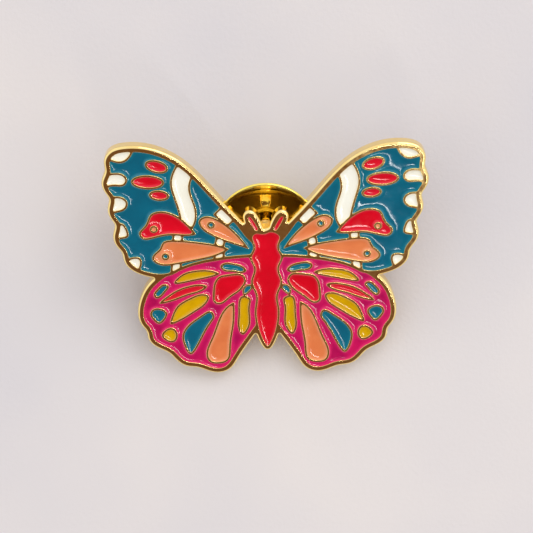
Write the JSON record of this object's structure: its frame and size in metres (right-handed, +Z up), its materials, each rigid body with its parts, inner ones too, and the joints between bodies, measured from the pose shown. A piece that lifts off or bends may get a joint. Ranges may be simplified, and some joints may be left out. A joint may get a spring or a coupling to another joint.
{
  "type": "lapel pin brooch",
  "caption": "Butterfly-shaped brooch of gold-plated metal with soft enamel cells, a post on its back and a squeeze-to-release clutch.",
  "frame": {"origin": "bottom centre of the whole assembly's box, on the table that the brooch lies on", "axes": "+X to the right across the wings seen from the front, +Y away from the hindwings and over the table, +Z up; the enamel faces up and the plate leans up toward +Y on its clutch"},
  "size_m": [0.0356, 0.0256, 0.0128],
  "materials": {
    "plate_gold": "polished gold plate on the faces and edge, fine matt texture on the back",
    "post_gold": "polished gold plate",
    "solder": "plated solder, slightly uneven",
    "clutch_gold": "bright mirror-polished gold plate",
    "spring_wire": "drawn wire",
    "red_enamel": "soft enamel, glossy, lower than the lines",
    "coral_enamel": "soft enamel, glossy, lower than the lines",
    "white_enamel": "soft enamel, glossy, lower than the lines",
    "teal_enamel": "soft enamel, glossy, lower than the lines",
    "yellow_enamel": "soft enamel, glossy, lower than the lines",
    "pink_enamel": "soft enamel, glossy, lower than the lines"
  },
  "bodies": {
    "brooch": {"base_plate": "plate_gold", "pin_post": "post_gold", "solder_ring": "solder", "body_red_fill": "red_enamel", "right_forewing_teal_ground": "teal_enamel", "right_forewing_white_margin_spots": "white_enamel", "right_forewing_white_band": "white_enamel", "right_forewing_white_bars": "white_enamel", "right_forewing_red_ovals": "red_enamel", "right_forewing_red_drop": "red_enamel", "right_forewing_coral_drops": "coral_enamel", "right_forewing_coral_eyes": "coral_enamel", "right_forewing_teal_eyes": "teal_enamel", "right_hindwing_yellow_panes": "yellow_enamel", "right_hindwing_red_panes": "red_enamel", "right_hindwing_teal_panes": "teal_enamel", "right_hindwing_coral_pane": "coral_enamel", "right_hindwing_pink_ground": "pink_enamel", "right_antenna_red_fill": "red_enamel", "left_forewing_teal_ground": "teal_enamel", "left_forewing_white_margin_spots": "white_enamel", "left_forewing_white_band": "white_enamel", "left_forewing_white_bars": "white_enamel", "left_forewing_red_ovals": "red_enamel", "left_forewing_red_drop": "red_enamel", "left_forewing_coral_drops": "coral_enamel", "left_forewing_coral_eyes": "coral_enamel", "left_forewing_teal_eyes": "teal_enamel", "left_hindwing_yellow_panes": "yellow_enamel", "left_hindwing_red_panes": "red_enamel", "left_hindwing_teal_panes": "teal_enamel", "left_hindwing_coral_pane": "coral_enamel", "left_hindwing_pink_ground": "pink_enamel", "left_antenna_red_fill": "red_enamel"},
    "clutch_disc": {"clutch_flange": "clutch_gold"},
    "clutch_case": {"clutch_housing": "clutch_gold", "clutch_spring": "spring_wire"},
    "right_jaw": {"clutch_right_jaw": "clutch_gold"},
    "left_jaw": {"clutch_left_jaw": "clutch_gold"}
  },
  "joints": [
    {"name": "clutch_slide", "type": "slide", "parent": "brooch", "child": "clutch_disc", "axis": [0, 0.414, -0.9103], "range_m": [0, 0.02]},
    {"name": "clutch_turn", "type": "hinge", "parent": "clutch_disc", "child": "clutch_case", "pos_m": [0, 0.00284, 0.00592], "axis": [0, 0.414, -0.9103], "continuous": true},
    {"name": "left_jaw_squeeze", "type": "slide", "parent": "clutch_case", "child": "left_jaw", "axis": [1, 0, 0], "range_m": [0, 0.00055], "stiffness_N_per_m": 2000, "deforming": ["clutch_spring"]},
    {"name": "right_jaw_squeeze", "type": "slide", "parent": "clutch_case", "child": "right_jaw", "axis": [-1, 0, 0], "range_m": [0, 0.00055], "stiffness_N_per_m": 2000}
  ],
  "couplings": [
    {"joint": "right_jaw_squeeze", "follows": "left_jaw_squeeze", "ratio": 1}
  ]
}
